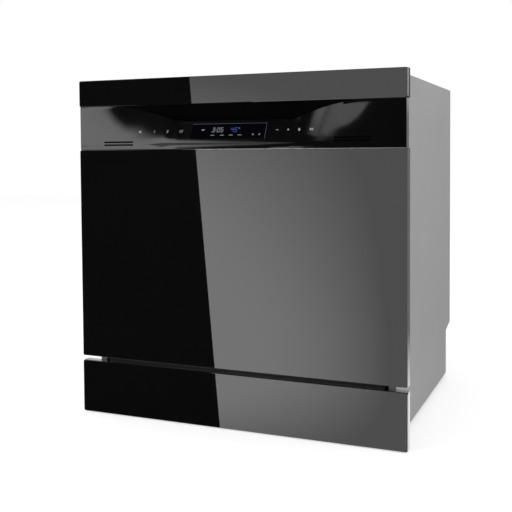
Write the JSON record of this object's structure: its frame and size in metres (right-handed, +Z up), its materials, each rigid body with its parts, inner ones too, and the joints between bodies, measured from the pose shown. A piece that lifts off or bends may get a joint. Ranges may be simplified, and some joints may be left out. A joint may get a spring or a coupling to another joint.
{
  "type": "semi-integrated dishwasher",
  "caption": "Compact built-in dishwasher with a black glass drop-down door, finger recess and touch fascia, two sliding racks, spray arms, pump and sump in a grey casing.",
  "frame": {"origin": "middle of the footprint's bounding box, on the floor plane under the feet", "axes": "+X to the right seen from the front, +Y from the door towards the rear, +Z up"},
  "size_m": [0.595, 0.5, 0.595],
  "materials": {
    "black_glass": "polished, back-painted black",
    "edge_metal": "satin anodised",
    "casing_grey": "smooth satin paint",
    "cover_black": "fine matt black paint",
    "fascia_black": "high gloss moulding",
    "display_glass": "smoked window",
    "board_green": "lacquered board",
    "stainless": "fine brushed",
    "zinc_steel": "zinc plated",
    "rubber_grey": "matt moulded",
    "felt_grey": "pressed felt",
    "plastic_white": "moulded",
    "plastic_grey": "moulded",
    "plastic_dark": "moulded",
    "rack_coating": "nylon coated wire",
    "hose_black": "smooth"
  },
  "bodies": {
    "cabinet": {"side_panels": "casing_grey", "top_cover": "casing_grey", "back_panel": "casing_grey", "back_screws": "zinc_steel", "base_tray": "plastic_dark", "base_front_cover": "cover_black", "plinth_glass": "black_glass", "plinth_frame": "edge_metal", "latch_strike": "zinc_steel", "hinge_brackets": "zinc_steel", "balance_springs": "zinc_steel", "tub": "stainless", "door_gasket": "rubber_grey", "insulation_felt": "felt_grey", "heater": "stainless", "filter_plate": "stainless", "sump": "plastic_dark", "circulation_pump": "plastic_dark", "drain_pump": "plastic_dark", "hoses": "hose_black", "air_break_chamber": "plastic_white", "inlet_valve": "plastic_white", "terminal_box": "plastic_dark", "softener_tank": "plastic_white", "spray_manifold": "plastic_grey", "roller_brackets": "plastic_white"},
    "door": {"door_glass": "black_glass", "top_strip_glass": "black_glass", "door_frame": "edge_metal", "top_rail": "edge_metal", "control_fascia": "fascia_black", "display_window": "display_glass", "control_board": "board_green", "door_liner": "stainless", "dispenser_body": "plastic_grey", "hinge_arms": "zinc_steel"},
    "latch_lever": {"latch_lever": "zinc_steel"},
    "detergent_lid": {"dispenser_lid": "plastic_white"},
    "rinse_cap": {"rinse_cap": "plastic_dark"},
    "lower_rack": {"lower_rack_grid": "rack_coating", "lower_rack_sides": "rack_coating", "cutlery_basket": "plastic_grey"},
    "front_wheels": {"lower_wheels_front": "plastic_grey"},
    "rear_wheels": {"lower_wheels_rear": "plastic_grey"},
    "upper_rack": {"upper_rack_grid": "rack_coating", "upper_rack_sides": "rack_coating"},
    "cup_shelf": {"cup_shelf": "rack_coating"},
    "upper_spray_arm": {"upper_spray_arm": "plastic_grey"},
    "lower_spray_arm": {"lower_spray_arm": "plastic_grey"},
    "front_rollers": {"rail_rollers_front": "plastic_white"},
    "rear_rollers": {"rail_rollers_rear": "plastic_white"},
    "filter": {"filter_cylinder": "plastic_grey"},
    "salt_cap": {"salt_cap": "plastic_grey"},
    "impeller": {"circulation_impeller": "plastic_white"},
    "leak_float": {"leak_float": "plastic_white"},
    "foot_front_left": {"foot_front_left": "plastic_dark"},
    "foot_front_right": {"foot_front_right": "plastic_dark"},
    "foot_rear_left": {"foot_rear_left": "plastic_dark"},
    "foot_rear_right": {"foot_rear_right": "plastic_dark"}
  },
  "joints": [
    {"name": "door_hinge", "type": "hinge", "parent": "cabinet", "child": "door", "pos_m": [0, -0.2405, 0.111], "axis": [1, 0, 0], "range_deg": [0, 90], "stiffness_Nm_per_rad": 10, "deforming": ["balance_springs"]},
    {"name": "latch_swing", "type": "hinge", "parent": "door", "child": "latch_lever", "pos_m": [0, -0.238, 0.575], "axis": [1, 0, 0], "range_deg": [-12, 0], "stiffness_Nm_per_rad": 0.05, "springref_deg": 5.73},
    {"name": "detergent_lid_slide", "type": "slide", "parent": "door", "child": "detergent_lid", "axis": [1, 0, 0], "range_m": [0, 0.044]},
    {"name": "rinse_cap_turn", "type": "hinge", "parent": "door", "child": "rinse_cap", "pos_m": [0.025, -0.189, 0.298], "axis": [0, 1, 0], "range_deg": [0, 90]},
    {"name": "lower_rack_slide", "type": "slide", "parent": "cabinet", "child": "lower_rack", "axis": [0, -1, 0], "range_m": [0, 0.18]},
    {"name": "front_wheels_roll", "type": "hinge", "parent": "lower_rack", "child": "front_wheels", "pos_m": [0, -0.06, 0.175], "axis": [1, 0, 0], "range_deg": [0, 794]},
    {"name": "rear_wheels_roll", "type": "hinge", "parent": "lower_rack", "child": "rear_wheels", "pos_m": [0, 0.16, 0.175], "axis": [1, 0, 0], "range_deg": [0, 794]},
    {"name": "upper_rack_slide", "type": "slide", "parent": "cabinet", "child": "upper_rack", "axis": [0, -1, 0], "range_m": [0, 0.3]},
    {"name": "front_rollers_roll", "type": "hinge", "parent": "cabinet", "child": "front_rollers", "pos_m": [0, -0.162, 0.3867], "axis": [1, 0, 0], "range_deg": [0, 2149]},
    {"name": "rear_rollers_roll", "type": "hinge", "parent": "cabinet", "child": "rear_rollers", "pos_m": [0, -0.118, 0.3867], "axis": [1, 0, 0], "range_deg": [0, 2149]},
    {"name": "cup_shelf_fold", "type": "hinge", "parent": "upper_rack", "child": "cup_shelf", "pos_m": [-0.213, 0.005, 0.44], "axis": [0, -1, 0], "range_deg": [0, 85]},
    {"name": "upper_arm_spin", "type": "hinge", "parent": "upper_rack", "child": "upper_spray_arm", "pos_m": [0, 0.0055, 0.355], "axis": [0, 0, 1], "continuous": true},
    {"name": "lower_arm_spin", "type": "hinge", "parent": "cabinet", "child": "lower_spray_arm", "pos_m": [0, 0.0125, 0.181], "axis": [0, 0, 1], "continuous": true},
    {"name": "filter_twist", "type": "hinge", "parent": "cabinet", "child": "filter", "pos_m": [0.052, 0.0125, 0.14], "axis": [0, 0, 1], "range_deg": [0, 45]},
    {"name": "salt_cap_turn", "type": "hinge", "parent": "cabinet", "child": "salt_cap", "pos_m": [-0.17, -0.12, 0.165], "axis": [0, 0, 1], "continuous": true},
    {"name": "impeller_spin", "type": "hinge", "parent": "cabinet", "child": "impeller", "pos_m": [-0.12, 0.0125, 0.058], "axis": [1, 0, 0], "continuous": true},
    {"name": "leak_float_lift", "type": "slide", "parent": "cabinet", "child": "leak_float", "axis": [0, 0, 1], "range_m": [0, 0.012]},
    {"name": "foot_front_left_turn", "type": "hinge", "parent": "cabinet", "child": "foot_front_left", "pos_m": [-0.23, -0.2, 0.01], "axis": [0, 0, 1], "continuous": true},
    {"name": "foot_front_right_turn", "type": "hinge", "parent": "cabinet", "child": "foot_front_right", "pos_m": [0.23, -0.2, 0.01], "axis": [0, 0, 1], "continuous": true},
    {"name": "foot_rear_left_turn", "type": "hinge", "parent": "cabinet", "child": "foot_rear_left", "pos_m": [-0.23, 0.175, 0.01], "axis": [0, 0, 1], "continuous": true},
    {"name": "foot_rear_right_turn", "type": "hinge", "parent": "cabinet", "child": "foot_rear_right", "pos_m": [0.23, 0.175, 0.01], "axis": [0, 0, 1], "continuous": true}
  ],
  "couplings": [
    {"joint": "lower_rack_slide", "follows": "door_hinge", "m_per_rad": 0.11459},
    {"joint": "front_wheels_roll", "follows": "door_hinge", "ratio": 8.8146},
    {"joint": "rear_wheels_roll", "follows": "door_hinge", "ratio": 8.8146},
    {"joint": "upper_rack_slide", "follows": "door_hinge", "m_per_rad": 0.19098},
    {"joint": "front_rollers_roll", "follows": "door_hinge", "ratio": 23.872},
    {"joint": "rear_rollers_roll", "follows": "door_hinge", "ratio": 23.872}
  ]
}
